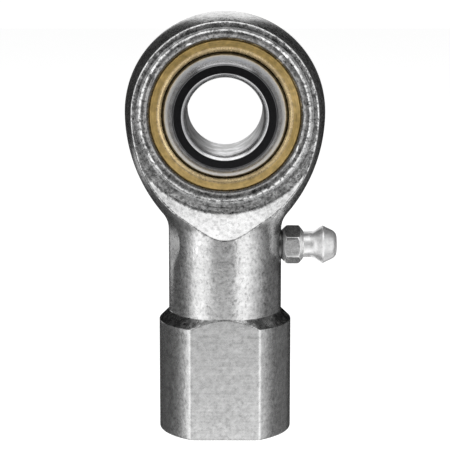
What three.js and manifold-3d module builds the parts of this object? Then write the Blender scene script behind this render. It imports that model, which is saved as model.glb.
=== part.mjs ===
// Female spherical rod end with a bronze race and a grease nipple.
// Millimetres. The origin is the centre of the ball: +Z up, away from the threaded shank,
// Y along the ball's bore, and +X towards the grease nipple.

import * as THREE from "three";
import { mergeVertices } from "three/addons/utils/BufferGeometryUtils.js";
import Module from "manifold-3d";

const wasm = await Module();
wasm.setup();

// Ball
const BORE_R = 6.35;
const BALL_R = 11.6;
const BALL_HALF_WIDTH = 7.9375;
const BORE_CHAMFER = 0.75;

// Head of the body
const HEAD_R = 16.67;
const HEAD_HALF_WIDTH = 6.35;
const NECK_ARC_R = 26.37;
const NECK_ARC_END_Z = -17.9;
const FACE_CUT_R = 16.2;
const FACE_CUT_SLOPE = 1.25;
const FACE_CUT_DEPTH = 8;

// Swaged lip that holds the race, with the rolled groove round it
const GROOVE_OUTER_R = 14.55;
const GROOVE_R = 14.3;
const GROOVE_Y = 6.08;
const LIP_CREST_R = 13.92;
const LIP_CREST_Y = 6.27;
const LIP_INNER_R = 12.49;
const LIP_INNER_Y = 5.62;

// Race, in two halves that meet under the middle of the ball
const RACE_BORE_R = 11.7;
const RACE_FACE_Y = 5.55;
const RACE_FACE_R = 12.43;
const RACE_MIDDLE_R = 13.45;
const RACE_EDGE_FACE_R = 11.24;
const RACE_EDGE_Y = 5.24;
const RACE_JOINT_GAP = 0.03;
const RACE_GROOVE = 0.35;
const RACE_SEAT_GAP = 0.05;

// Shank and wrench collar
const SHANK_R = 9.475;
const SHANK_TOP_Z = -19.6;
const COLLAR_R = 11.1125;
const COLLAR_SHOULDER_Z = -33.5;
const COLLAR_TOP_Z = -35.1;
const BASE_Z = -53.975;
const BASE_CHAMFER = 0.25;
const WRENCH_FLAT_Y = 9.525;

// Socket for the mating thread, at its minor diameter
const SOCKET_R = 5.65;
const SOCKET_MOUTH_R = 6.6;
const SOCKET_END_Z = -28.575;
const DRILL_POINT_SLOPE = 0.6;

// Lubrication
const PASSAGE_R = 1.25;
const NIPPLE_Z = -22.5;
const NIPPLE_HOLE_R = 2.95;
const NIPPLE_HOLE_END_X = 4.4;

// Ground scallop on the side of the neck
const SCALLOP_WHEEL_R = 9;
const SCALLOP_DEPTH = 0.5;
const SCALLOP_Z = -21.5;
const SCALLOP_BEARING = THREE.MathUtils.degToRad(70);

// Grease nipple, along +X from its threaded end
const NIPPLE_THREAD_R = 2.85;
const NIPPLE_INNER_X = 5.1;
const HEX_START_X = 9.56;
const HEX_END_X = 13.15;
const HEX_ACROSS_FLATS = 5.8;
const HEX_CORNER_R = 3.32;
const HEX_START_R = 2.45;
const HEX_END_R = 2.3;
const HEX_CHAMFER_LENGTH = 0.8;
const NIPPLE_NECK_R = 2.15;
const NIPPLE_NECK_END_X = 15.0;
const NIPPLE_HEAD_R = 3.2;
const NIPPLE_HEAD_X = 16.4;
const NIPPLE_TIP_R = 2.3;
const NIPPLE_TIP_EDGE_X = 18.25;
const NIPPLE_TIP_X = 18.8;
const CHAMBER_R = 1.32;
const CHAMBER_END_X = 17.8;
const SEAT_R = 1.02;
const SEAT_X = 18.25;

// Nipple valve
const CHECK_BALL_R = 1.15;
const CHECK_BALL_X = 17.6;
const SPRING_COIL_R = 0.86;
const SPRING_WIRE_R = 0.15;
const SPRING_TURNS = 6;
const SPRING_INNER_X = 11.7;
const SPRING_OUTER_X = 16.2;
const RETAINER_R = 1.27;
const RETAINER_HOLE_R = 0.5;
const RETAINER_START_X = 10.9;
const RETAINER_END_X = 11.45;

const AROUND = 48;
const SMALL_AROUND = 20;

const steel = new THREE.MeshStandardMaterial({ color: 0xb9bbbd, roughness: 0.42, metalness: 1 });
const bronze = new THREE.MeshStandardMaterial({ color: 0xb08a3c, roughness: 0.4, metalness: 1 });
const hardSteel = new THREE.MeshStandardMaterial({ color: 0x9a9b9e, roughness: 0.2, metalness: 1 });
const nippleSteel = new THREE.MeshStandardMaterial({ color: 0xc6c7c9, roughness: 0.3, metalness: 1 });
const springSteel = new THREE.MeshStandardMaterial({ color: 0x8c8c90, roughness: 0.35, metalness: 1 });

// Points along a circular arc in the profile plane, both ends included. Angles are in degrees.
function arc(cx, cy, r, from, to, steps) {
  return Array.from({ length: steps + 1 }, (_, i) => {
    const a = THREE.MathUtils.degToRad(from + ((to - from) * i) / steps);
    return [cx + r * Math.cos(a), cy + r * Math.sin(a)];
  });
}

function solid(geometry) {
  const plain = geometry.clone();
  plain.deleteAttribute("normal");
  plain.deleteAttribute("uv");
  const merged = mergeVertices(plain, 1e-4);
  const mesh = new wasm.Mesh({
    numProp: 3,
    vertProperties: new Float32Array(merged.attributes.position.array),
    triVerts: new Uint32Array(merged.index.array),
  });
  return new wasm.Manifold(mesh);
}

// Turns a closed profile of [radius, distance along the axis] about X, Y or Z.
function turned(profile, axis, around = AROUND) {
  const points = profile.map(([r, h]) => new THREE.Vector2(r, h));
  let area = 0;
  points.forEach((p, i) => {
    const q = points[(i + 1) % points.length];
    area += p.x * q.y - q.x * p.y;
  });
  if (area < 0) points.reverse();
  points.push(points[0].clone());
  const geometry = new THREE.LatheGeometry(points, around);
  if (axis === "Z") geometry.rotateX(Math.PI / 2);
  if (axis === "X") geometry.rotateZ(-Math.PI / 2);
  return solid(geometry);
}

function mesh(name, shape, material) {
  const made = shape.getMesh();
  const geometry = new THREE.BufferGeometry();
  geometry.setAttribute("position", new THREE.BufferAttribute(made.vertProperties, 3));
  geometry.setIndex(new THREE.BufferAttribute(made.triVerts, 1));
  geometry.computeVertexNormals();
  const result = new THREE.Mesh(geometry, material);
  result.name = name;
  return result;
}

function block(sx, sy, sz, x, y, z) {
  return solid(new THREE.BoxGeometry(sx, sy, sz).translate(x, y, z));
}

function rod(r, length, axis, x, y, z, around = SMALL_AROUND) {
  const geometry = new THREE.CylinderGeometry(r, r, length, around);
  if (axis === "Z") geometry.rotateX(Math.PI / 2);
  if (axis === "X") geometry.rotateZ(Math.PI / 2);
  return solid(geometry.translate(x, y, z));
}

function makeBody() {
  const neckCentre = HEAD_R - NECK_ARC_R;
  const neckEnd = THREE.MathUtils.radToDeg(Math.asin(NECK_ARC_END_Z / NECK_ARC_R));
  let body = turned(
    [
      ...arc(0, 0, HEAD_R, 90, 0, 12).map(([r, z]) => [Math.max(r, 0), z]),
      ...arc(neckCentre, 0, NECK_ARC_R, 0, neckEnd, 6).slice(1),
      [SHANK_R + 0.06, -18.9],
      [SHANK_R, SHANK_TOP_Z],
      [SHANK_R, COLLAR_SHOULDER_Z],
      [COLLAR_R, COLLAR_TOP_Z],
      [COLLAR_R, BASE_Z + BASE_CHAMFER],
      [COLLAR_R - BASE_CHAMFER, BASE_Z],
      [0, BASE_Z],
    ],
    "Z",
  );

  // Milled head faces, each with a cone-shaped run-out that dies away on the shank.
  for (const side of [-1, 1]) {
    const far = HEAD_HALF_WIDTH + FACE_CUT_DEPTH;
    body = body.subtract(
      turned(
        [
          [0, side * HEAD_HALF_WIDTH],
          [FACE_CUT_R, side * HEAD_HALF_WIDTH],
          [FACE_CUT_R + FACE_CUT_DEPTH * FACE_CUT_SLOPE, side * far],
          [FACE_CUT_R + FACE_CUT_DEPTH * FACE_CUT_SLOPE, side * (HEAD_R + 1)],
          [0, side * (HEAD_R + 1)],
        ],
        "Y",
      ),
    );
    const beyond = 4;
    body = body.subtract(
      block(40, beyond, 24, 0, side * (WRENCH_FLAT_Y + beyond / 2), BASE_Z + 10),
    );
  }

  // Seat of the race, its swaged lips and the groove round each lip.
  const seat = [
    [0, HEAD_HALF_WIDTH + 1],
    [GROOVE_OUTER_R, HEAD_HALF_WIDTH + 1],
    [GROOVE_OUTER_R, HEAD_HALF_WIDTH],
    [GROOVE_R, GROOVE_Y],
    [LIP_CREST_R, LIP_CREST_Y],
    [LIP_CREST_R - 0.62, LIP_CREST_Y - 0.1],
    [LIP_INNER_R + 0.3, LIP_INNER_Y + 0.32],
    [LIP_INNER_R, LIP_INNER_Y],
    ...raceOutline(RACE_SEAT_GAP),
  ];
  body = body.subtract(
    turned([...seat, ...seat.map(([r, y]) => [r, -y]).reverse().slice(1)], "Y"),
  );

  // Threaded socket with its drill point, and the grease passage up to the race.
  const pointZ = SOCKET_END_Z + (SOCKET_R - PASSAGE_R) * DRILL_POINT_SLOPE;
  body = body.subtract(
    turned(
      [
        [0, BASE_Z - 1],
        [SOCKET_MOUTH_R, BASE_Z - 1],
        [SOCKET_MOUTH_R, BASE_Z],
        [SOCKET_R, BASE_Z + (SOCKET_MOUTH_R - SOCKET_R)],
        [SOCKET_R, SOCKET_END_Z],
        [PASSAGE_R, pointZ],
        [PASSAGE_R, -12],
        [0, -12],
      ],
      "Z",
      48,
    ),
  );

  // Tapped hole for the nipple, with its drill point and the cross passage.
  const holePointX = NIPPLE_HOLE_END_X - (NIPPLE_HOLE_R - PASSAGE_R * 0.8) * DRILL_POINT_SLOPE;
  const holeEnd = SHANK_R + 2;
  const nippleHole = turned(
    [
      [0, 0],
      [PASSAGE_R * 0.8, 0],
      [PASSAGE_R * 0.8, holePointX],
      [NIPPLE_HOLE_R, NIPPLE_HOLE_END_X],
      [NIPPLE_HOLE_R, holeEnd],
      [0, holeEnd],
    ],
    "X",
    SMALL_AROUND,
  ).translate([0, 0, NIPPLE_Z]);
  body = body.subtract(nippleHole);

  // Shallow scallop ground on the side of the neck.
  const wheelDistance = SHANK_R - SCALLOP_DEPTH + SCALLOP_WHEEL_R;
  const wheel = new THREE.CylinderGeometry(SCALLOP_WHEEL_R, SCALLOP_WHEEL_R, 16, 60);
  wheel.rotateZ(Math.PI / 2 - SCALLOP_BEARING).translate(
    -Math.sin(SCALLOP_BEARING) * wheelDistance,
    -Math.cos(SCALLOP_BEARING) * wheelDistance,
    SCALLOP_Z,
  );
  return body.subtract(solid(wheel));
}

// The race's convex outside from the lip to the middle, on the +Y side.
function raceOutline(gap) {
  const sag = RACE_MIDDLE_R - RACE_FACE_R;
  return [1, 0.75, 0.5, 0.25, 0].map((t) => [
    RACE_MIDDLE_R - sag * t * t + gap,
    RACE_FACE_Y * t,
  ]);
}

function makeRaceHalf(side) {
  const inner = Math.asin(RACE_EDGE_Y / RACE_BORE_R);
  const start = Math.asin(RACE_GROOVE / RACE_BORE_R);
  const bore = arc(
    0, 0, RACE_BORE_R, THREE.MathUtils.radToDeg(start), THREE.MathUtils.radToDeg(inner), 4,
  );
  // The mouth of the bore is a crowned bevel, steepest next to the ball.
  const mouthR = RACE_BORE_R * Math.cos(inner);
  const bevel = [1 / 3, 2 / 3, 1].map((t) => [
    mouthR + (RACE_EDGE_FACE_R - mouthR) * t,
    RACE_EDGE_Y + (RACE_FACE_Y - RACE_EDGE_Y) * (1.5 - 0.5 * t) * t,
  ]);
  const outside = raceOutline(0).slice(0, -1);
  const half = turned(
    [
      ...bore,
      ...bevel,
      ...outside,
      [RACE_MIDDLE_R, RACE_JOINT_GAP],
      [RACE_BORE_R + RACE_GROOVE, RACE_JOINT_GAP],
    ].map(([r, y]) => [r, side * y]),
    "Y",
  );
  return half.subtract(rod(PASSAGE_R, 6, "Z", 0, 0, -RACE_BORE_R - 1));
}

function makeBall() {
  const flat = THREE.MathUtils.radToDeg(Math.asin(BALL_HALF_WIDTH / BALL_R));
  return turned(
    [
      ...arc(0, 0, BALL_R, -flat, flat, 12),
      [BORE_R + BORE_CHAMFER, BALL_HALF_WIDTH],
      [BORE_R + BORE_CHAMFER * 0.35, BALL_HALF_WIDTH - BORE_CHAMFER * 0.5],
      [BORE_R, BALL_HALF_WIDTH - BORE_CHAMFER * 1.25],
      [BORE_R, -BALL_HALF_WIDTH + BORE_CHAMFER * 1.25],
      [BORE_R + BORE_CHAMFER * 0.35, -BALL_HALF_WIDTH + BORE_CHAMFER * 0.5],
      [BORE_R + BORE_CHAMFER, -BALL_HALF_WIDTH],
    ],
    "Y",
  );
}

function makeNipple() {
  const hexLength = HEX_END_X - HEX_START_X;
  const hex = new THREE.CylinderGeometry(1, 1, hexLength, 6);
  const cornerR = HEX_ACROSS_FLATS / Math.sqrt(3);
  hex.rotateY(Math.PI / 6).rotateZ(Math.PI / 2).scale(1, cornerR, cornerR);
  hex.translate(HEX_START_X + hexLength / 2, 0, 0);
  const dome = turned(
    [
      [0, HEX_START_X - 1],
      [HEX_START_R, HEX_START_X - 1],
      [HEX_START_R, HEX_START_X],
      [HEX_CORNER_R, HEX_START_X + HEX_CHAMFER_LENGTH],
      [HEX_CORNER_R, HEX_END_X - HEX_CHAMFER_LENGTH],
      [HEX_END_R, HEX_END_X],
      [HEX_END_R, HEX_END_X + 1],
      [0, HEX_END_X + 1],
    ],
    "X",
    SMALL_AROUND,
  );
  const spindle = turned(
    [
      [0, NIPPLE_INNER_X],
      [NIPPLE_THREAD_R - 0.35, NIPPLE_INNER_X],
      [NIPPLE_THREAD_R, NIPPLE_INNER_X + 0.35],
      [NIPPLE_THREAD_R, HEX_START_X - 0.15],
      [HEX_START_R, HEX_START_X - 0.15],
      [HEX_START_R, HEX_START_X + 0.5],
      [NIPPLE_NECK_R, HEX_START_X + 0.5],
      [NIPPLE_NECK_R, NIPPLE_NECK_END_X - 0.25],
      [NIPPLE_NECK_R + 0.12, NIPPLE_NECK_END_X],
      [NIPPLE_HEAD_R - 0.08, NIPPLE_HEAD_X - 0.25],
      [NIPPLE_HEAD_R, NIPPLE_HEAD_X],
      [NIPPLE_HEAD_R - 0.08, NIPPLE_HEAD_X + 0.2],
      [NIPPLE_TIP_R, NIPPLE_TIP_EDGE_X],
      [NIPPLE_TIP_R - 0.5, NIPPLE_TIP_X - 0.1],
      [SEAT_R + 0.25, NIPPLE_TIP_X],
      [0, NIPPLE_TIP_X],
    ],
    "X",
    SMALL_AROUND,
  );
  const chamber = turned(
    [
      [0, NIPPLE_INNER_X - 1],
      [CHAMBER_R, NIPPLE_INNER_X - 1],
      [CHAMBER_R, CHAMBER_END_X],
      [SEAT_R, SEAT_X],
      [SEAT_R, NIPPLE_TIP_X - 0.15],
      [SEAT_R + 0.15, NIPPLE_TIP_X + 0.01],
      [SEAT_R + 0.15, NIPPLE_TIP_X + 1],
      [0, NIPPLE_TIP_X + 1],
    ],
    "X",
    SMALL_AROUND,
  );
  return solid(hex).intersect(dome).add(spindle).subtract(chamber).translate([0, 0, NIPPLE_Z]);
}

function makeCheckBall() {
  const ball = new THREE.SphereGeometry(CHECK_BALL_R, 16, 10);
  return solid(ball.translate(CHECK_BALL_X, 0, NIPPLE_Z));
}

// A helix that runs flat for the first and last three quarters of a turn, as ground ends do.
class SpringLine extends THREE.Curve {
  getPoint(t, target = new THREE.Vector3()) {
    const turn = t * SPRING_TURNS;
    const dead = 0.75;
    const live = THREE.MathUtils.clamp((turn - dead) / (SPRING_TURNS - 2 * dead), 0, 1);
    const start = SPRING_INNER_X + SPRING_WIRE_R;
    const span = SPRING_OUTER_X - SPRING_INNER_X - 2 * SPRING_WIRE_R;
    const closed = 2.3 * SPRING_WIRE_R * dead;
    const seated = Math.min(turn, dead) + Math.max(turn - SPRING_TURNS + dead, 0);
    const x = start + (seated / dead) * closed + live * (span - 2 * closed);
    const a = turn * 2 * Math.PI;
    return target.set(x, SPRING_COIL_R * Math.cos(a), NIPPLE_Z + SPRING_COIL_R * Math.sin(a));
  }
}

function makeSpring() {
  const wire = new THREE.Shape();
  wire.absarc(0, 0, SPRING_WIRE_R, 0, 2 * Math.PI, false);
  const geometry = new THREE.ExtrudeGeometry(wire, {
    steps: SPRING_TURNS * 10,
    extrudePath: new SpringLine(),
    curveSegments: 3,
    bevelEnabled: false,
  });
  return solid(geometry);
}

function makeRetainer() {
  return turned(
    [
      [RETAINER_HOLE_R, RETAINER_START_X],
      [RETAINER_R - 0.12, RETAINER_START_X],
      [RETAINER_R, RETAINER_START_X + 0.12],
      [RETAINER_R, RETAINER_END_X],
      [RETAINER_HOLE_R + 0.15, RETAINER_END_X],
      [RETAINER_HOLE_R, RETAINER_END_X - 0.15],
    ],
    "X",
    SMALL_AROUND,
  ).translate([0, 0, NIPPLE_Z]);
}

const rodEnd = new THREE.Group();
rodEnd.add(mesh("rod_end_body", makeBody(), steel));

const bearing = new THREE.Group();
bearing.add(mesh("race_half_front", makeRaceHalf(-1), bronze));
bearing.add(mesh("race_half_rear", makeRaceHalf(1), bronze));
bearing.add(mesh("ball", makeBall(), hardSteel));
rodEnd.add(bearing);

const greaseNipple = new THREE.Group();
greaseNipple.add(mesh("nipple_body", makeNipple(), nippleSteel));
greaseNipple.add(mesh("nipple_check_ball", makeCheckBall(), hardSteel));
greaseNipple.add(mesh("nipple_spring", makeSpring(), springSteel));
greaseNipple.add(mesh("nipple_spring_retainer", makeRetainer(), nippleSteel));
rodEnd.add(greaseNipple);

export default rodEnd;
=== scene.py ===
import math

import bmesh
import bpy
import numpy as np
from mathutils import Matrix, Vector


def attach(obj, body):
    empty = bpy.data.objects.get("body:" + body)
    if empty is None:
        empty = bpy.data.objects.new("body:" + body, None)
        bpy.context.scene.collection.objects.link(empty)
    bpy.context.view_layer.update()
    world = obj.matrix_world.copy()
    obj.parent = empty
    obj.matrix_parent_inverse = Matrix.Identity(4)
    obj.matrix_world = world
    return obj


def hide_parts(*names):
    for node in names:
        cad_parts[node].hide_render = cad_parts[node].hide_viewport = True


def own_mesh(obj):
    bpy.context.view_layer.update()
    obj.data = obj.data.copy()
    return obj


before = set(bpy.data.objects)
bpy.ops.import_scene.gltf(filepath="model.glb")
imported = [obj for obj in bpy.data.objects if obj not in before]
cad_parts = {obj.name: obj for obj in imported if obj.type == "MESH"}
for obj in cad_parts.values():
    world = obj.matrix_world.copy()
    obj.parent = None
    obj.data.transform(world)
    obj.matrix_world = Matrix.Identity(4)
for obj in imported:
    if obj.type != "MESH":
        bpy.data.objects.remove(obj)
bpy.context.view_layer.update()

MM = 0.001

# ---------------------------------------------------------------- dimensions, in mm
BORE_R, BALL_R, BALL_HALF_WIDTH = 6.35, 11.6, 7.9375
RACE_BORE_R, RACE_FACE_Y, RACE_MOUTH_R, RACE_MOUTH_Y = 11.7, 5.55, 10.46, 5.24
BEVEL_WIDTH, BEVEL_DEPTH = 0.78, 0.31
HEAD_R, FACE_Y = 16.67, 6.35
NECK_ARC_R, NECK_BLEND_TOP, NECK_BLEND_END = 26.37, -16.9, -19.6
CUT_R, CUT_SLOPE, CUT_CORNER = 16.2, 1.25, 0.35
GROOVE_R, GROOVE_START_R = 14.3, 14.6
SHANK_R, COLLAR_R, FLAT_Y = 9.475, 11.1125, 9.525
FAN_END_Z, SHOULDER_Z, COLLAR_TOP_Z, BASE_Z = -26.5, -33.5, -35.1, -53.975
SOCKET_MINOR_R, SOCKET_MAJOR_R, SOCKET_MOUTH_R = 5.65, 6.33, 6.75
SOCKET_END_Z, THREAD_PITCH, DRILL_POINT_SLOPE = -28.575, 1.27, 0.6
PASSAGE_R, PASSAGE_TOP_Z = 1.25, -14.0
NIPPLE_Z, NIPPLE_X0, CHAMBER_R, MOUTH_R = -22.5, 5.1, 1.32, 1.02
HEX_X0, HEX_X1, HEX_HALF_AF, HEX_CORNER_R, NECK_R = 9.56, 13.15, 2.9, 3.32, 2.15
CHECK_X, CHECK_R, VALVE_TRAVEL = 17.6, 1.15, 0.8
SPRING_X0, SPRING_X1, SPRING_COIL_R, SPRING_WIRE_R, SPRING_TURNS = 11.7, 16.2, 0.86, 0.15, 6
SCALLOP_BEARING, SCALLOP_WHEEL_R, SCALLOP_DEPTH, SCALLOP_Z = math.radians(70), 9.0, 0.5, -21.5

# ---------------------------------------------------------------- how finely things are divided
TURN_COLUMNS, NIPPLE_COLUMNS, SMALL_COLUMNS = 256, 180, 96
QUARTER_COLUMNS, FLAT_COLUMNS, SIDE_COLUMNS, UPPER_COLUMNS = 88, 59, 60, 70
FACE_ROWS, OUTSIDE_ROWS, ROW_GROWTH = 26, 22, 1.16
FAN_ANGLE, FAN_EDGE, RIM_EDGE, EDGE_SUPPORT = 27.0, 0.16, 0.28, 1.25


# ---------------------------------------------------------------- mesh helpers
class Builder:
    """Collects grids of points, in mm, into one mesh."""

    def __init__(self):
        self.points, self.faces, self.count = [], [], 0

    def grid(self, p, wrap=False):
        nu, nv = p.shape[:2]
        index = self.count + np.arange(nu * nv).reshape(nu, nv)
        if wrap:
            index = np.concatenate([index, index[:1]], axis=0)
        a, b, c, d = index[:-1, :-1], index[1:, :-1], index[1:, 1:], index[:-1, 1:]
        self.faces.append(np.stack([a, b, c, d], axis=-1).reshape(-1, 4))
        self.points.append(p.reshape(-1, 3))
        self.count += nu * nv

    def make(self, name, material, body, replaces=(), weld=2e-6, sharp=None):
        points = np.concatenate(self.points) * MM
        faces = np.concatenate(self.faces)
        mesh = bpy.data.meshes.new(name)
        mesh.from_pydata(points.tolist(), [], faces.tolist())
        bm = bmesh.new()
        bm.from_mesh(mesh)
        bmesh.ops.remove_doubles(bm, verts=bm.verts, dist=weld)
        bmesh.ops.dissolve_degenerate(bm, edges=bm.edges, dist=weld)
        bmesh.ops.recalc_face_normals(bm, faces=bm.faces)
        bm.to_mesh(mesh)
        bm.free()
        mesh.shade_smooth()
        if sharp:
            mesh.set_sharp_from_angle(angle=math.radians(sharp))
        mesh.materials.append(material)
        obj = bpy.data.objects.new(name, mesh)
        bpy.context.scene.collection.objects.link(obj)
        if replaces:
            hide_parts(*replaces)
        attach(obj, body)
        return obj


def lathe(profile, axis, around, z=0.0):
    """Points of a profile of (radius, distance along the axis) turned about X, Y or Z."""
    r, h = np.array(profile, float).T
    a = np.linspace(0, 2 * np.pi, around, endpoint=False)
    u, v = np.outer(np.cos(a), r), np.outer(np.sin(a), r)
    w = np.broadcast_to(h, u.shape)
    order = {"X": (w, u, v), "Y": (u, w, v), "Z": (u, v, w)}[axis]
    p = np.stack(order, axis=-1)
    p[..., 2] += z
    return p


def rounded(corners, steps=6, support=0.35):
    """A polyline of (a, b, radius) corners, rounded off, with support points beside each bend."""
    pts = [np.array(c[:2], float) for c in corners]
    cut = [c[2] if len(c) > 2 else 0.0 for c in corners]
    out = [pts[0]]
    for i in range(1, len(pts) - 1):
        p, d = pts[i], cut[i]
        back, ahead = pts[i - 1] - p, pts[i + 1] - p
        lb, la = np.linalg.norm(back), np.linalg.norm(ahead)
        d = min(d, 0.48 * lb, 0.48 * la)
        if d <= 0:
            out.append(p)
            continue
        start, end = p + back / lb * d, p + ahead / la * d
        before, after = p + back / lb * d * (1 + support), p + ahead / la * d * (1 + support)
        if lb > d * 2.2:
            out.append(before)
        for s in np.linspace(0, 1, steps):
            out.append((1 - s) ** 2 * start + 2 * s * (1 - s) * p + s**2 * end)
        if la > d * 2.2:
            out.append(after)
    out.append(pts[-1])
    return out


def densify(profile, longest):
    """Splits long straight steps of a profile."""
    out = [np.array(profile[0], float)]
    for p in profile[1:]:
        p = np.array(p, float)
        n = max(1, int(np.ceil(np.linalg.norm(p - out[-1]) / longest)))
        last = out[-1]
        out += [last + (p - last) * k / n for k in range(1, n + 1)]
    return out


def smooth_min(a, b, k):
    """The smaller of a and b, rounded off where they differ by less than k."""
    h = np.clip(k - np.abs(a - b), 0, None) / k
    return np.minimum(a, b) - h * h * k / 4


def arc(cx, cy, r, start, end, steps):
    """Points of an arc round (cx, cy) between two angles in degrees."""
    return [
        (cx + r * math.cos(math.radians(t)), cy + r * math.sin(math.radians(t)))
        for t in np.linspace(start, end, steps + 1)
    ]


# ---------------------------------------------------------------- the body's shape
def turned_radius(z):
    """Radius of the turned outside at height z, from the top of the head to the shank."""
    z = np.asarray(z, float)
    sphere = np.sqrt(np.clip(HEAD_R**2 - z**2, 0, None))
    centre = HEAD_R - NECK_ARC_R
    neck = centre + np.sqrt(NECK_ARC_R**2 - np.clip(z, NECK_BLEND_TOP, 0) ** 2)
    z0, z1 = NECK_BLEND_TOP, NECK_BLEND_END
    r0 = centre + math.sqrt(NECK_ARC_R**2 - z0**2)
    slope = -z0 / math.sqrt(NECK_ARC_R**2 - z0**2)
    t = np.clip((z - z0) / (z1 - z0), 0, 1)
    h00, h10, h01 = 2 * t**3 - 3 * t**2 + 1, t**3 - 2 * t**2 + t, -2 * t**3 + 3 * t**2
    blend = h00 * r0 + h10 * (z1 - z0) * slope + h01 * SHANK_R
    return np.where(z >= 0, sphere, np.where(z >= z0, neck, blend))


def face_depth(r):
    """Distance of the milled face and its cone-shaped run-out from the middle plane."""
    over = np.asarray(r, float) - CUT_R
    eased = (over + CUT_CORNER) ** 2 / (4 * CUT_CORNER)
    soft = np.where(over > CUT_CORNER, over, np.where(over < -CUT_CORNER, 0, eased))
    return FACE_Y + soft / CUT_SLOPE


def face_rim(theta):
    """Radius at which the milled face meets the turned outside, theta being counted from -Z."""
    lo, hi = np.full_like(theta, GROOVE_START_R), np.full_like(theta, 22.0)
    for _ in range(50):
        mid = (lo + hi) / 2
        x, z = mid * np.sin(theta), -mid * np.cos(theta)
        y2 = turned_radius(z) ** 2 - x**2
        inside = y2 > face_depth(mid) ** 2
        lo, hi = np.where(inside, mid, lo), np.where(inside, hi, mid)
    return (lo + hi) / 2


def scallop(p):
    """Grinds the shallow scallop into points of the neck."""
    nx, ny = -math.sin(SCALLOP_BEARING), -math.cos(SCALLOP_BEARING)
    reach = SHANK_R - SCALLOP_DEPTH + SCALLOP_WHEEL_R
    along = p[..., 0] * nx + p[..., 1] * ny
    dz = p[..., 2] - SCALLOP_Z
    limit = reach - np.sqrt(np.clip(SCALLOP_WHEEL_R**2 - dz**2, 0, None))
    limit = np.where(np.abs(dz) < SCALLOP_WHEEL_R * 0.5, limit, 99)
    shift = np.where(along > SHANK_R / 2, smooth_min(along, limit, 0.07) - along, 0)
    q = p.copy()
    q[..., 0] += shift * nx
    q[..., 1] += shift * ny
    return q


FLAT_EDGE = math.asin(math.sqrt(COLLAR_R**2 - FLAT_Y**2) / COLLAR_R)


def quarter_bearings():
    """Bearings of the shank's columns over a quarter turn, closest together on the wrench flat."""
    past_flat = FLAT_EDGE * 1.12
    inner = np.linspace(0, past_flat, FLAT_COLUMNS)
    outer = np.linspace(past_flat, np.pi / 2, QUARTER_COLUMNS - FLAT_COLUMNS + 2)[1:]
    return np.concatenate([inner, outer])


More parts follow.
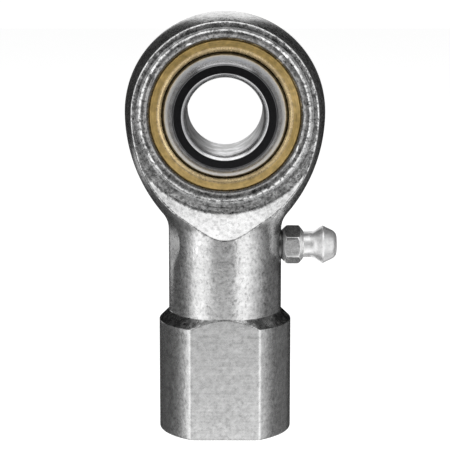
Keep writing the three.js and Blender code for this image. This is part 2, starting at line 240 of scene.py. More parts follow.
def make_body(material):
    b = Builder()
    bearings = quarter_bearings()
    k = len(bearings) - 1
    fan = np.radians(FAN_ANGLE) * (np.linspace(0, 1, k + 1))
    side = np.linspace(np.radians(FAN_ANGLE), np.pi / 2, SIDE_COLUMNS)[1:]
    upper = np.linspace(np.pi / 2, np.pi, UPPER_COLUMNS)[1:]
    theta = np.concatenate([fan, side, upper])
    rim = face_rim(theta)
    n_fan, n_low = k + 1, k + len(side) + 1

    # Fractions of the way from the rim to the middle plane or the shank, closest at the rim.
    spread = np.concatenate([[0], np.cumsum(ROW_GROWTH ** np.arange(OUTSIDE_ROWS))])
    spread = spread / spread[-1]

    def outside(i, s):
        """Points on the turned outside, from rim point i at s = 0 to the end of its line at s = 1."""
        x, z = rim[i] * math.sin(theta[i]), -rim[i] * math.cos(theta[i])
        if i >= n_low:
            psi = np.arcsin(np.clip(face_depth(rim[i]) / HEAD_R, 0, 1)) * (1 - s)
            r = HEAD_R * np.cos(psi)
            y = -HEAD_R * np.sin(psi)
            return np.stack([r * math.sin(theta[i]), y, -r * math.cos(theta[i])], -1)
        phi0 = math.asin(min(1.0, x / float(turned_radius(z))))
        if i < n_fan:
            phi1, z1 = bearings[i], FAN_END_Z
        else:
            phi1 = np.pi / 2
            t = (i - k) / (n_low - 1 - k)
            z1 = FAN_END_Z * (1 - t) ** 1.25
        phi, zz = phi0 + (phi1 - phi0) * s, z + (z1 - z) * s
        r = turned_radius(zz)
        return np.stack([r * np.sin(phi), -r * np.cos(phi), zz], -1)

    def face(i, r):
        """Points on the milled face, at radii r on the line of rim point i."""
        return np.stack([r * math.sin(theta[i]), -face_depth(r), -r * math.cos(theta[i])], -1)

    lines = []
    for i in range(len(theta)):
        length = np.linalg.norm(np.diff(outside(i, np.linspace(0, 1, 12)), axis=0), axis=1).sum()
        width = RIM_EDGE if i >= n_fan else FAN_EDGE
        s = width / length
        corner = outside(i, np.array([0.0]))[0]
        inner = face(i, np.array([rim[i] - width]))[0]
        outer = outside(i, np.array([s]))[0]
        bend = [
            (1 - t) ** 2 * inner + 2 * t * (1 - t) * corner + t**2 * outer
            for t in np.linspace(0, 1, 7)
        ]
        across = rim[i] - width * EDGE_SUPPORT - GROOVE_START_R
        steps = GROOVE_START_R + across * np.linspace(0, 1, FACE_ROWS)
        beyond = outside(i, s * EDGE_SUPPORT + (1 - s * EDGE_SUPPORT) * spread)
        lines.append(np.concatenate([face(i, steps), bend, beyond]))
    lines = np.array(lines)

    mirror_x, mirror_y = np.array([-1, 1, 1]), np.array([1, -1, 1])
    for mx in (1, -1):
        for my in (1, -1):
            p = lines * (mirror_x if mx < 0 else 1) * (mirror_y if my < 0 else 1)
            b.grid(scallop(p) if (mx, my) == (-1, 1) else p)

    # Groove, lips and race seat, turned about the bore axis, with the columns of the face.
    seat = rounded(
        [
            (GROOVE_START_R, FACE_Y), (GROOVE_R + 0.22, FACE_Y, 0.07), (GROOVE_R, 6.06, 0.16),
            (13.8, 6.3, 0.2), (13.25, 6.2, 0.25), (12.86, 6.02, 0.15), (12.5, 5.6, 0.06),
            (12.49, 5.35),
        ],
        steps=6,
    )
    seat += [(13.5 - 1.02 * t * t, RACE_FACE_Y * t) for t in np.linspace(0.95, 0, 6)]
    r, y = np.array(seat, float).T
    columns = np.concatenate([theta, 2 * np.pi - theta[::-1][1:-1]])
    for sign in (1, -1):
        b.grid(
            np.stack(
                [
                    np.outer(np.sin(columns), r),
                    np.broadcast_to(-sign * y, (len(columns), len(y))),
                    np.outer(-np.cos(columns), r),
                ],
                axis=-1,
            ),
            wrap=True,
        )

    # Shank, shoulder, collar with its two wrench flats, and the base.
    rows = rounded(
        [
            (SHANK_R, FAN_END_Z), (SHANK_R, SHOULDER_Z, 0.16), (COLLAR_R, COLLAR_TOP_Z, 0.14),
            (COLLAR_R, BASE_Z, 0.28), (SOCKET_MOUTH_R, BASE_Z),
        ],
        steps=9,
    )
    fine = []
    for p, q in zip(rows[:-1], rows[1:]):
        on_shoulder = SHOULDER_Z + 0.5 >= p[1] and q[1] >= COLLAR_TOP_Z - 0.5
        fine += densify([p, q], 0.085 if on_shoulder else 1.3)[:-1]
    rows = np.array(fine + [rows[-1]])
    full = np.concatenate([bearings, np.pi - bearings[::-1][1:]])
    full = np.concatenate([full, 2 * np.pi - full[::-1][1:-1]])
    cos = np.maximum(np.abs(np.cos(full)), 1e-6)
    rho = np.broadcast_to(rows[:, 0], (len(full), len(rows)))
    ease = np.interp(rows[:, 1], [BASE_Z, BASE_Z + 0.16], [0.12, 0.0])
    flat = (FLAT_Y - ease)[None, :] / cos[:, None]
    blend = np.interp(rows[:, 1], [COLLAR_TOP_Z, SHOULDER_Z], [0.2, 0.04])[None, :]
    radius = np.where(rho > SOCKET_MOUTH_R + 1, smooth_min(rho, flat, blend), rho)
    b.grid(
        np.stack(
            [
                radius * np.sin(full)[:, None], -radius * np.cos(full)[:, None],
                np.broadcast_to(rows[:, 1], radius.shape),
            ],
            axis=-1,
        ),
        wrap=True,
    )

    # Tapped wall of the socket, its drill point and the grease passage, closed off under the race.
    z = np.arange(BASE_Z, SOCKET_END_Z, THREAD_PITCH / 10)
    phase = (z[None, :] - BASE_Z) / THREAD_PITCH - full[:, None] / (2 * np.pi)
    groove = np.clip(np.abs((phase % 1) * 2 - 1) * 1.3 - 0.15, 0, 1)
    groove = groove * (SOCKET_MAJOR_R - SOCKET_MINOR_R)
    fade = np.clip((SOCKET_END_Z - 1.5 - z) / 1.2, 0, 1)
    wall = SOCKET_MINOR_R + groove * fade[None, :]
    wall = np.maximum(wall, SOCKET_MOUTH_R - (z[None, :] - BASE_Z))
    tip = SOCKET_END_Z + (SOCKET_MINOR_R - PASSAGE_R) * DRILL_POINT_SLOPE
    above = densify([(SOCKET_MINOR_R, z[-1]), (PASSAGE_R, tip), (PASSAGE_R, PASSAGE_TOP_Z)], 1.5)
    above = np.array(above[1:] + [(0.4, PASSAGE_TOP_Z), (0.0, PASSAGE_TOP_Z)])
    wall = np.concatenate([wall, np.broadcast_to(above[:, 0], (len(full), len(above)))], axis=1)
    z = np.concatenate([z, above[:, 1]])
    b.grid(
        np.stack(
            [
                wall * np.sin(full)[:, None], -wall * np.cos(full)[:, None],
                np.broadcast_to(z, wall.shape),
            ],
            axis=-1,
        ),
        wrap=True,
    )
    return b.make("housing_steel", material, "housing", ["rod_end_body"], sharp=50)


def make_ball(material):
    flat_r = math.sqrt(BALL_R**2 - BALL_HALF_WIDTH**2)
    sphere = arc(0, 0, BALL_R, -42.4, 42.4, 72)
    face = rounded(
        [sphere[-1], (flat_r, BALL_HALF_WIDTH, 0.14), (BORE_R + 0.78, BALL_HALF_WIDTH, 0.14),
         (BORE_R + 0.24, BALL_HALF_WIDTH - 0.45, 0.35), (BORE_R, BALL_HALF_WIDTH - 1.1, 0.3),
         (BORE_R, 0)],
        steps=8,
    )
    near = [(r, -y) for r, y in face][::-1]
    b = Builder()
    for profile in (densify(face, 1.2), densify(near, 1.2), sphere):
        b.grid(lathe(profile, "Y", TURN_COLUMNS), wrap=True)
    return b.make("bearing_ball", material, "ball", ["ball"])


def make_race(side, material):
    inside = arc(0, 0, RACE_BORE_R, 2, 26.6, 13)
    mouth = [
        (RACE_MOUTH_R + BEVEL_WIDTH * t, RACE_MOUTH_Y + BEVEL_DEPTH * (1.5 - 0.5 * t) * t)
        for t in np.linspace(0, 1, 14)
    ]
    face = mouth + rounded(
        [(11.3, RACE_FACE_Y), (11.5, RACE_FACE_Y), (12.0, RACE_FACE_Y), (12.22, RACE_FACE_Y, 0.06),
         (12.42, 5.36, 0.08), (12.46, 5.2)],
        steps=6,
    )
    outside = [(13.45 - 1.02 * t * t, RACE_FACE_Y * t) for t in np.linspace(0.9, 0.02, 8)]
    profile = inside[:-1] + face + outside + [(13.44, 0.03), (12.05, 0.03), inside[0]]
    b = Builder()
    b.grid(lathe([(r, side * y) for r, y in profile], "Y", TURN_COLUMNS), wrap=True)
    name = "front" if side < 0 else "rear"
    return b.make(
        "race_bronze_" + name, material, "housing", ["race_half_" + name], sharp=50
    )


def make_nipple(material):
    """One closed shell: threaded end, hexagon, neck, coupling head, mouth and chamber."""
    outside = rounded(
        [(CHAMBER_R, NIPPLE_X0), (2.5, NIPPLE_X0), (2.85, NIPPLE_X0 + 0.35, 0.05), (2.85, 9.4, 0.05),
         (2.45, 9.42, 0.03), (2.47, HEX_X0, 0.05),
         (HEX_CORNER_R, HEX_X0 + 0.8, 0.25), (HEX_CORNER_R, HEX_X1 - 0.8, 0.25), (2.3, HEX_X1, 0.16),
         (NECK_R, HEX_X1 + 0.03, 0.1), (NECK_R, 14.9, 0.8), (3.2, 16.4, 0.22),
         (2.3, 18.25, 0.2), (1.8, 18.68, 0.2), (1.3, 18.79, 0.08), (1.16, 18.74, 0.05),
         (MOUTH_R, 18.6, 0.05), (MOUTH_R, 18.25), (CHAMBER_R, 17.8), (CHAMBER_R, NIPPLE_X0)],
        steps=8,
    )
    profile = np.array(densify(outside, 0.12))
    a = np.linspace(0, 2 * np.pi, NIPPLE_COLUMNS, endpoint=False)
    within = (a + np.pi / 6) % (np.pi / 3) - np.pi / 6
    r = np.broadcast_to(profile[:, 0], (len(a), len(profile)))
    on_hex = (profile[:, 1] > HEX_X0) & (profile[:, 1] < HEX_X1) & (profile[:, 0] > 2.5)
    r = np.where(on_hex[None, :], smooth_min(r, HEX_HALF_AF / np.cos(within)[:, None], 0.14), r)
    b = Builder()
    b.grid(
        np.stack(
            [np.broadcast_to(profile[:, 1], r.shape), -r * np.cos(a)[:, None],
             NIPPLE_Z + r * np.sin(a)[:, None]],
            -1,
        ),
        wrap=True,
    )
    return b.make("nipple_steel_body", material, "housing", ["nipple_body"], sharp=50)


def make_check_ball(material):
    b = Builder()
    profile = [(r, x) for x, r in arc(CHECK_X, 0, CHECK_R, 180, 0, 64)]
    p = lathe(profile, "X", SMALL_COLUMNS, NIPPLE_Z)
    b.grid(p, wrap=True)
    return b.make("nipple_valve_ball", material, "check_valve", ["nipple_check_ball"])


def make_spring(material):
    """A coil spring with closed ends, on the line that the CAD solid follows."""
    turn = np.linspace(0, SPRING_TURNS, SPRING_TURNS * 40 + 1)
    dead, wire = 0.75, SPRING_WIRE_R
    live = np.clip((turn - dead) / (SPRING_TURNS - 2 * dead), 0, 1)
    closed = 2.3 * wire * dead
    seated = (np.minimum(turn, dead) + np.maximum(turn - SPRING_TURNS + dead, 0)) / dead * closed
    x = SPRING_X0 + wire + seated + live * (SPRING_X1 - SPRING_X0 - 2 * wire - 2 * closed)
    a = turn * 2 * np.pi
    line = np.stack([x, SPRING_COIL_R * np.cos(a), NIPPLE_Z + SPRING_COIL_R * np.sin(a)], -1)
    out = np.stack([np.zeros_like(a), np.cos(a), np.sin(a)], -1)
    ahead = np.gradient(line, axis=0)
    ahead /= np.linalg.norm(ahead, axis=1)[:, None]
    up = np.cross(ahead, out)
    # Rings shrink to a point beyond each end, so that the wire is closed.
    size = np.concatenate([[0, 0.7, 0.95], np.ones(len(line)), [0.95, 0.7, 0]]) * wire * 0.98
    pick = np.clip(np.arange(len(size)) - 3, 0, len(line) - 1)
    t = np.linspace(0, 2 * np.pi, 16, endpoint=False)
    ring = out[pick][:, None] * np.cos(t)[None, :, None] + up[pick][:, None] * np.sin(t)[None, :, None]
    p = line[pick][:, None] + ring * size[:, None, None]
    b = Builder()
    b.grid(p.transpose(1, 0, 2), wrap=True)
    obj = b.make("nipple_coil_spring", material, "housing", ["nipple_spring"])
    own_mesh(obj)
    return obj


def make_retainer(material):
    profile = rounded(
        [(0.5, 11.2), (0.5, 10.9, 0.06), (1.27, 10.9, 0.12), (1.27, 11.45, 0.05), (0.62, 11.45, 0.05),
         (0.5, 11.33, 0.04), (0.5, 11.2)],
        steps=6,
    )
    b = Builder()
    b.grid(lathe(profile, "X", SMALL_COLUMNS, NIPPLE_Z), wrap=True)
    return b.make(
        "nipple_crimped_washer", material, "housing", ["nipple_spring_retainer"],
        sharp=50,
    )


# ---------------------------------------------------------------- materials
def grey_of(level):
    return (level, level, level)


class Signal:
    """A number that varies over a surface. Arithmetic on it adds Math nodes to its material."""

    def __init__(self, tree, socket):
        self.tree, self.socket = tree, socket

    def math(self, operation, *others):
        node = self.tree.nodes.new("ShaderNodeMath")
        node.operation = operation
        for slot, value in zip(node.inputs, (self, *others)):
            if isinstance(value, Signal):
                self.tree.links.new(value.socket, slot)
            else:
                slot.default_value = value
        return Signal(self.tree, node.outputs[0])

    def __add__(self, other):
        return self.math("ADD", other)

    def __sub__(self, other):
        return self.math("SUBTRACT", other)

    def __rsub__(self, other):
        return self * -1.0 + other

    def __mul__(self, other):
        return self.math("MULTIPLY", other)

    def __abs__(self):
        return self.math("ABSOLUTE")

    __radd__, __rmul__ = __add__, __mul__

    def ramp(self, start, end):
        """0 at start, 1 at end, eased at both."""
        node = self.tree.nodes.new("ShaderNodeMapRange")
        node.interpolation_type = "SMOOTHSTEP"
        flip = start > end
        node.inputs["From Min"].default_value = min(start, end)
        node.inputs["From Max"].default_value = max(start, end)
        node.inputs["To Min"].default_value = float(flip)
        node.inputs["To Max"].default_value = float(not flip)
        self.tree.links.new(self.socket, node.inputs["Value"])
        return Signal(self.tree, node.outputs["Result"])


class Finish:
    """A material under construction, measured in mm of the object's own coordinates."""

    def __init__(self, name, metallic):
        self.material = bpy.data.materials.new(name)
        self.material.use_nodes = True
        self.tree = self.material.node_tree
        self.shader = self.tree.nodes["Principled BSDF"]
        self.shader.inputs["Metallic"].default_value = metallic
        source = self.tree.nodes.new("ShaderNodeTexCoord")
        scale = self.tree.nodes.new("ShaderNodeVectorMath")
        scale.operation = "SCALE"
        scale.inputs["Scale"].default_value = 1 / MM
        self.tree.links.new(source.outputs["Object"], scale.inputs[0])
        self.place = scale.outputs[0]
        self.x, self.y, self.z = self.split(self.place)
        self.nx, self.ny, self.nz = self.split(source.outputs["Normal"])
        self.bore_r = (self.x * self.x + self.z * self.z).math("SQRT")
        self.axis_r = (self.x * self.x + self.y * self.y).math("SQRT")

    def split(self, vector):
        node = self.tree.nodes.new("ShaderNodeSeparateXYZ")
        self.tree.links.new(vector, node.inputs[0])
        return [Signal(self.tree, out) for out in node.outputs]

    def noise(self, scale, detail=2.0, at=None, roughness=0.5):
        """Noise from -0.5 to 0.5, about 1 / scale mm from one blotch to the next."""
        node = self.tree.nodes.new("ShaderNodeTexNoise")
        node.inputs["Scale"].default_value = scale
        node.inputs["Detail"].default_value = detail
        node.inputs["Roughness"].default_value = roughness
        if at:
            join = self.tree.nodes.new("ShaderNodeCombineXYZ")
            for value, slot in zip(at, join.inputs):
                self.tree.links.new(value.socket, slot)
            self.tree.links.new(join.outputs[0], node.inputs["Vector"])
        else:
            self.tree.links.new(self.place, node.inputs["Vector"])
        return Signal(self.tree, node.outputs["Fac"]) - 0.5

    def edges(self, start=0.515, end=0.56):
        """1 on convex edges, where plating wears bright."""
        node = self.tree.nodes.new("ShaderNodeNewGeometry")
        return Signal(self.tree, node.outputs["Pointiness"]).ramp(start, end)

    def mix(self, amount, first, second):
        """The first colour where amount is 0, the second where it is 1."""
        node = self.tree.nodes.new("ShaderNodeMix")
        node.data_type = "RGBA"
        self.tree.links.new(amount.socket, node.inputs["Factor"])
        for slot, color in ((node.inputs[6], first), (node.inputs[7], second)):
            if isinstance(color, tuple):
                slot.default_value = (*color, 1)
            else:
                self.tree.links.new(color, slot)
        return node.outputs[2]

    def tone(self, color, brightness):
        """The colour multiplied by a brightness that varies over the surface."""
        node = self.tree.nodes.new("ShaderNodeVectorMath")
        node.operation = "SCALE"
        self.tree.links.new(color, node.inputs[0])
        self.tree.links.new(brightness.socket, node.inputs["Scale"])
        return node.outputs[0]

    def finish(self, color, roughness, height, distance):
        """Connects the shader. The bump is distance mm high for each unit of height."""
        self.tree.links.new(color, self.shader.inputs["Base Color"])
        self.tree.links.new(roughness.math("MAXIMUM", 0.08).socket, self.shader.inputs["Roughness"])
        bump = self.tree.nodes.new("ShaderNodeBump")
        bump.inputs["Distance"].default_value = distance * MM
        self.tree.links.new(height.socket, bump.inputs["Height"])
        self.tree.links.new(bump.outputs[0], self.shader.inputs["Normal"])
        return self.material


def plated_steel():
    """Zinc-plated forging: grainy all over, with mottling and turned rings on its milled faces."""
    f = Finish("zinc_plated_steel", 1.0)
    fine, medium, broad = f.noise(2.3, 1.5), f.noise(0.95, 3), f.noise(0.16, 2)
    spots, blotches, pits = f.noise(1.6, 2), f.noise(0.75, 3), f.noise(1.9, 1)
    head = f.z.ramp(-20.5, -17.5)
    milled = abs(f.ny).ramp(0.8, 0.97) * head
    rings = f.noise(1.0, 2, at=(f.bore_r * 3.4, f.x * 0.05, f.z * 0.05))
    turned = f.noise(1.0, 2, at=(f.z * 3.0, f.x * 0.06, f.y * 0.06)) * f.z.ramp(-17.5, -21)
    shoulder = f.nz.ramp(0.3, 0.55) * f.z.ramp(-36.0, -35.3) * f.z.ramp(-33.2, -33.6)
    dirt = spots.ramp(0.0, -0.13) * (milled * 0.65 + head * 0.12 + shoulder * 0.2 + 0.08)
    shank = f.z.ramp(-33.6, -33.2) * f.z.ramp(-18.0, -21.0)
    # Painted shade: the foot of the lip, in the corner beside the race, is darkened.
    lip_foot_shade = f.bore_r.ramp(12.92, 12.7) * head
    # Painted shade: the lip's inward slope toward the race is darkened.
    lip_slope_shade = f.bore_r.ramp(13.75, 13.3) * head
    # Painted shade in the groove round the milled face, stronger on its upper half.
    groove = f.bore_r.ramp(14.1, 14.3) * f.bore_r.ramp(14.95, 14.6) * milled
    groove = groove * (0.3 + 0.45 * f.z.ramp(-6.0, 8.0))
    pitted = pits.ramp(-0.1, -0.2) * (0.12 * shank + 0.5 * milled + 0.15)
    socket = f.axis_r.ramp(6.9, 6.7) * f.z.ramp(-14.0, -20.0)
    nipple_r = (f.y * f.y + (f.z - NIPPLE_Z) * (f.z - NIPPLE_Z)).math("SQRT")
    # Painted shade on the body round the nipple's foot.
    nipple_foot_shade = nipple_r.ramp(6.8, 3.4) * f.x.ramp(5.5, 7.5)
    worn = f.edges() * medium.ramp(-0.2, 0.1)
    grey = f.mix(broad.ramp(-0.15, 0.15), grey_of(0.63), grey_of(0.69))
    grey = f.mix(dirt, grey, grey_of(0.1))
    grey = f.mix(shoulder * (0.35 + 0.45 * blotches.ramp(0.1, -0.08)), grey, grey_of(0.1))
    # The painted groove shade and the real pits darken to one grey.
    grey = f.mix(groove.math("MAXIMUM", pitted), grey, grey_of(0.08))
    grey = f.mix(lip_slope_shade * 0.6, grey, (0.16, 0.155, 0.15))
    grey = f.mix(lip_foot_shade * 0.4, grey, (0.1, 0.095, 0.09))
    grey = f.mix(nipple_foot_shade * 0.75, grey, grey_of(0.12))
    grey = f.mix(worn * 0.8, grey, grey_of(0.88))
    grey = f.mix(socket * 0.8, grey, (0.3, 0.29, 0.28))
    level = 1.0 + fine * (0.35 + 0.45 * milled + 0.35 * shank) + medium * (0.75 + 0.7 * milled)
    level = level + rings * milled * 0.9 + blotches * milled * 1.9 + turned * 0.3
    roughness = 0.27 + fine * 0.2 + medium * 0.16 + dirt * 0.3 - worn * 0.08
    height = fine * (0.5 + 0.2 * milled) + medium * (1.1 + 0.9 * milled)
    height = height + rings * milled + turned * 0.25
    return f.finish(f.tone(grey, level), roughness, height, 0.034)


def turned_bronze():
    """Turned bronze, with a painted highlight on its chamfer at the ball and painted shade beside the
    ball and the swaged lip.
    """
    f = Finish("turned_bronze", 0.65)
    fine, medium, broad = f.noise(2.2, 1.5), f.noise(0.9, 3), f.noise(0.14, 2)
    lines = f.noise(1.0, 2, at=(f.bore_r * 4.0, f.x * 0.06, f.z * 0.06))
    gold = f.mix(broad.ramp(-0.15, 0.15), (0.61, 0.425, 0.15), (0.69, 0.49, 0.195))
    # Painted highlight: the chamfer at the ball is coloured brighter.
    bevel_highlight = f.bore_r.ramp(11.4, 11.1) * f.bore_r.ramp(10.44, 10.52)
    gold = f.mix(bevel_highlight, gold, (0.92, 0.7, 0.38))
    # Painted shade where the race meets the swaged lip.
    gold = f.mix(f.bore_r.ramp(12.34, 12.46) * 0.6, gold, (0.16, 0.12, 0.07))
    # Painted shade at the race's mouth, in the gap beside the ball.
    gold = f.mix(f.bore_r.ramp(10.5, 10.42) * 0.9, gold, (0.08, 0.06, 0.04))
    level = 1.0 + fine * 0.35 + medium * 1.0 + broad * 0.6 + lines * 0.5
    roughness = 0.36 + fine * 0.15 + medium * 0.1 - bevel_highlight * 0.1
    return f.finish(f.tone(gold, level), roughness, fine * 0.6 + medium + lines, 0.02)


def ground_steel():
    """Hardened ball: ground sphere, dark flat faces, honed bore, a painted highlight band, and painted
    shade inside the race.
    """
    f = Finish("ground_ball_steel", 1.0)
    fine, medium, broad = f.noise(3.5, 2), f.noise(0.8, 3), f.noise(0.35, 2)
    lines = f.noise(1.0, 2, at=(f.y * 4.5, f.x * 0.05, f.z * 0.05))
    marks = f.noise(1.0, 2, at=(f.bore_r * 4.0, f.x * 0.06, f.z * 0.06))
    far = abs(f.y)
    flat = abs(f.ny).ramp(0.85, 0.97) * far.ramp(7.7, 7.85)
    shoulder = far.ramp(7.6, 7.8) * f.bore_r.ramp(8.2, 8.4)
    bore = f.bore_r.ramp(6.75, 6.5)
    # Painted shade on the sphere inside the race, where it runs into the gap.
    ball_gap_shade = far.ramp(6.0, 5.75) * f.bore_r.ramp(9.0, 9.9)
    # Painted highlight: a lighter, less metallic band on the sphere beside the race.
    ball_band_highlight = far.ramp(5.85, 6.15) * far.ramp(7.3, 6.5) * f.bore_r.ramp(8.8, 9.4)
    grey = f.mix(medium.ramp(-0.2, 0.2), (0.6, 0.6, 0.61), (0.68, 0.68, 0.69))
    grey = f.mix(flat.math("MAXIMUM", shoulder * 0.8), grey, (0.045, 0.045, 0.048))
    grey = f.mix(bore * broad.ramp(-0.12, 0.12), grey, grey_of(0.36))
    grey = f.mix(ball_band_highlight * 0.8, grey, (0.67, 0.72, 0.8))
    grey = f.mix(ball_gap_shade, grey, (0.1, 0.095, 0.085))
    level = 1.0 + fine * 0.5 + lines * 0.3 + medium * bore * 1.2
    roughness = 0.24 + fine * 0.1 + bore * 0.12 + flat * 0.08
    height = fine * 0.6 + lines * 0.8 + marks * flat * 0.8 + medium * bore
    # The painted highlight band is made less metallic so that the lamps light it.
    metal = 1.0 - ball_band_highlight * 0.7
    f.tree.links.new(metal.socket, f.shader.inputs["Metallic"])
    return f.finish(f.tone(grey, level), roughness, height, 0.012)


def bright_steel():
    """Bright zinc plate of the grease nipple, with painted shade below the hexagon, in its corner with
    the body.
    """
    f = Finish("bright_nipple_steel", 0.95)
    fine, medium = f.noise(3.0, 2), f.noise(1.2, 3)
    lines = f.noise(1.0, 2, at=(f.x * 4.0, f.y * 0.2, f.z * 0.2))
    outer = f.x.ramp(HEX_X1 - 0.1, HEX_X1 + 0.1)
    chamfer = (abs(f.nx).ramp(0.2, 0.4) * f.x.ramp(HEX_X0, HEX_X0 + 0.2)).math("MAXIMUM", outer)
    grey = f.mix(medium.ramp(-0.2, 0.2), grey_of(0.6), grey_of(0.7))
    grey = f.mix(chamfer, grey, grey_of(0.92))
    grey = f.mix(f.edges(0.52, 0.58), grey, grey_of(0.9))
    # Painted shade below the hexagon, in the corner where the nipple enters the body.
    grey = f.mix(f.x.ramp(HEX_X0 + 0.15, HEX_X0 - 0.05), grey, grey_of(0.15))
    level = 1.0 + fine * 0.4 + medium * 0.4
    metal = 0.95 - chamfer * 0.27
    f.tree.links.new(metal.socket, f.shader.inputs["Metallic"])
    roughness = 0.22 + fine * 0.15 + medium * 0.1 + outer * 0.1
    return f.finish(f.tone(grey, level), roughness, fine + medium + lines, 0.014)


def spring_wire():
    """Drawn spring wire, with a blue-grey bloom and lengthwise streaks."""
    f = Finish("drawn_spring_wire", 0.95)
    fine, medium = f.noise(9.0, 2), f.noise(2.0, 3)
    grey = f.mix(medium.ramp(-0.2, 0.2), (0.3, 0.31, 0.34), grey_of(0.46))
    return f.finish(f.tone(grey, 1.0 + fine * 0.5), 0.32 + medium * 0.2, fine + medium, 0.004)


ball_metal, nipple_metal, bronze = ground_steel(), bright_steel(), turned_bronze()
make_body(plated_steel())
make_ball(ball_metal)
make_race(-1, bronze)
make_race(1, bronze)
make_nipple(nipple_metal)
make_check_ball(ball_metal)
make_spring(spring_wire())
make_retainer(nipple_metal)


# ---------------------------------------------------------------- stage
BLACK = grey_of(0)
RING_R, RING_STEP = 90, 2
RING_ROWS = (
    -300, -120, -92, -78, -60, -50, -44, -38, -31, -27, -20, -14, -10, -4, 4, 8, 20, 40, 60, 95,
)

# Brightness of the light ring, as stops of (bearing or height, level). Bearings are counted from
# the front (-Y), +X positive. The strip lights the shank's left, and the shade darkens the nipple's
# upper and lower edges.
AROUND = (
    (-180, 1.0), (-168, 1.0), (-162, 0.03), (-127, 0.1), (-100, 0.11), (-88, 0.16), (-80, 0.27),
    (-73, 0.4), (-66, 1.0), (-60, 1.4), (-38, 1.4), (-30, 0.9), (-18, 0.4), (18, 0.4), (24, 1.4),
    (44, 1.4), (52, 0.95), (70, 0.6), (80, 0.28), (90, 0.16), (130, 0.16), (140, 0.05), (162, 0.03),
    (168, 1.0), (180, 1.0),
)
FRONT_BEARINGS = ((16, 1.0), (24, 0.0))
FRONT_HEIGHTS = (
    (-120, 1.3), (-92, 1.1), (-78, 0.83), (-60, 0.81), (-50, 0.68), (-42, 0.5), (-30, 0.28),
    (-10, 0.06), (8, 0.03), (40, 0.1), (60, 1.2),
)
SIDE_BEARING, REAR_BEARING = 98, 150
SIDE_HEIGHTS = ((-110, 4.0), (-88, 1.0), (-36, 1.0), (-26, 0.35))
REAR_HEIGHTS = (
    (-120, 1.3), (-92, 1.1), (-60, 0.85), (-50, 0.45), (-38, 0.25), (-14, 0.25), (4, 1.25),
)
STRIP_BEARINGS = ((-143, 0.0), (-139, 0.85), (-130, 0.85), (-126, 0.0))
STRIP_HEIGHTS = ((-50, 0.0), (-44, 1.0), (-31, 1.0), (-27, 0.0))
SHADE_BEARINGS = ((158, 0.0), (164, 0.9), (172, 0.9), (176, 0.0))
SHADE_HEIGHTS = ((20, 1.0), (40, 0.0))


def new_material(name, color, roughness, emission):
    m = bpy.data.materials.new(name)
    m.use_nodes = True
    shader = m.node_tree.nodes["Principled BSDF"]
    shader.inputs["Base Color"].default_value = (*color, 1)
    shader.inputs["Roughness"].default_value = roughness
    shader.inputs["Emission Color"].default_value = (1, 1, 1, 1)
    shader.inputs["Emission Strength"].default_value = emission
    return m


def stage_mesh(name, points, faces, material):
    mesh = bpy.data.meshes.new(name)
    mesh.from_pydata([tuple(c * MM for c in p) for p in points], [], faces)
    mesh.materials.append(material)
    obj = bpy.data.objects.new(name, mesh)
    bpy.context.scene.collection.objects.link(obj)
    return obj


def reflected_only(obj):
    obj.visible_camera = obj.visible_diffuse = obj.visible_shadow = False
    obj.visible_transmission = False


def between(stops, place):
    """The level at a place between stops of (place, level)."""
    places, levels = zip(*stops)
    return np.interp(place, places, levels)


def ring_level(bearing, z):
    """Brightness of the light ring at a bearing and a height."""
    turn, around = abs(bearing), between(AROUND, bearing)
    if turn > REAR_BEARING:
        around *= between(REAR_HEIGHTS, z)
    elif turn > SIDE_BEARING:
        around *= between(SIDE_HEIGHTS, z)
    around *= 1 - between(SHADE_BEARINGS, bearing) * between(SHADE_HEIGHTS, z)
    strip = between(STRIP_BEARINGS, bearing) * between(STRIP_HEIGHTS, z)
    weight = between(FRONT_BEARINGS, turn)
    return max(around, strip) * (1 - weight) + between(FRONT_HEIGHTS, z) * weight


def make_light_ring():
    """A cylinder round the object that only its reflections see."""
    points, levels, faces = [], [], []
    turns = range(-180, 181, RING_STEP)
    for bearing in turns:
        t = math.radians(bearing)
        for z in RING_ROWS:
            points.append((RING_R * math.sin(t), -RING_R * math.cos(t), z))
            levels.append(float(ring_level(bearing, z)))
    rows = len(RING_ROWS)
    for i in range(len(turns) - 1):
        for k in range(i * rows, i * rows + rows - 1):
            faces.append((k, k + rows, k + rows + 1, k + 1))
    glow = new_material("ring_glow", BLACK, 1, 1)
    level_node = glow.node_tree.nodes.new("ShaderNodeAttribute")
    level_node.attribute_name = "level"
    shader = glow.node_tree.nodes["Principled BSDF"]
    glow.node_tree.links.new(level_node.outputs["Fac"], shader.inputs["Emission Strength"])
    shader.inputs["Specular IOR Level"].default_value = 0
    ring = stage_mesh("light_ring", points, faces, glow)
    ring.data.attributes.new("level", "FLOAT", "POINT").data.foreach_set("value", levels)
    reflected_only(ring)


def area_light(name, at, target, size, power):
    data = bpy.data.lights.new(name, "AREA")
    data.shape = "RECTANGLE"
    data.size, data.size_y = size[0] * MM, size[1] * MM
    data.energy = power
    obj = bpy.data.objects.new(name, data)
    obj.location = Vector(at) * MM
    obj.rotation_euler = (Vector(target) - Vector(at)).to_track_quat("-Z", "Y").to_euler()
    obj.visible_camera = obj.visible_glossy = False
    bpy.context.scene.collection.objects.link(obj)
    return obj


make_light_ring()

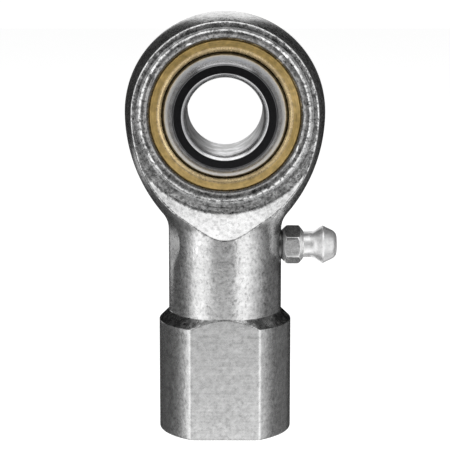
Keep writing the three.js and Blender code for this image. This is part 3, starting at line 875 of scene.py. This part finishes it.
FAR, FLOOR_Z = 900, BASE_Z - 0.02
corners = [(-FAR, -FAR), (FAR, -FAR), (FAR, FAR), (-FAR, FAR)]
floor = stage_mesh(
    "floor", [(x, y, FLOOR_Z) for x, y in corners], [(0, 1, 2, 3)],
    new_material("floor_paper", grey_of(0.7), 0.9, 0.93),
)
floor.visible_glossy = False
backdrop = stage_mesh(
    "backdrop", [(x, y, z) for z in (FLOOR_Z, FAR) for x, y in corners],
    [(0, 1, 5, 4), (1, 2, 6, 5), (2, 3, 7, 6), (3, 0, 4, 7)],
    new_material("backdrop_paper", BLACK, 1, 1.05),
)
backdrop.visible_glossy = backdrop.visible_diffuse = backdrop.visible_shadow = False
CARD_HALF_WIDTH, CARD_DEPTH, CARD_Z = 130, 190, 200
top = stage_mesh(
    "top_light_card",
    [(-CARD_HALF_WIDTH, -CARD_DEPTH, CARD_Z), (CARD_HALF_WIDTH, -CARD_DEPTH, CARD_Z),
     (CARD_HALF_WIDTH, 0, CARD_Z), (-CARD_HALF_WIDTH, 0, CARD_Z)],
    [(0, 1, 2, 3)], new_material("top_glow", BLACK, 1, 1.5),
)
reflected_only(top)

area_light("key_light", (0, -120, 380), (0, 0, -20), (420, 420), 1.1)

WORLD_LEVEL = 0.05
world = bpy.data.worlds.new("studio")
world.use_nodes = True
world.node_tree.nodes["Background"].inputs["Color"].default_value = (*grey_of(WORLD_LEVEL), 1)
bpy.context.scene.world = world
bpy.context.scene.view_settings.view_transform = "Standard"

LENS, SENSOR_WIDTH, CAMERA_AT, CAMERA_AIM = 147.8, 36, (0, -305.9, 36.9), (0, 0, -19.2)
camera_data = bpy.data.cameras.new("camera")
camera_data.lens, camera_data.sensor_width = LENS, SENSOR_WIDTH
camera_data.clip_start, camera_data.clip_end = 0.01, 20
camera = bpy.data.objects.new("camera", camera_data)
bpy.context.scene.collection.objects.link(camera)
camera.location = Vector(CAMERA_AT) * MM
aim = Vector(CAMERA_AIM) * MM
camera.rotation_euler = (aim - camera.location).to_track_quat("-Z", "Y").to_euler()
bpy.context.scene.camera = camera
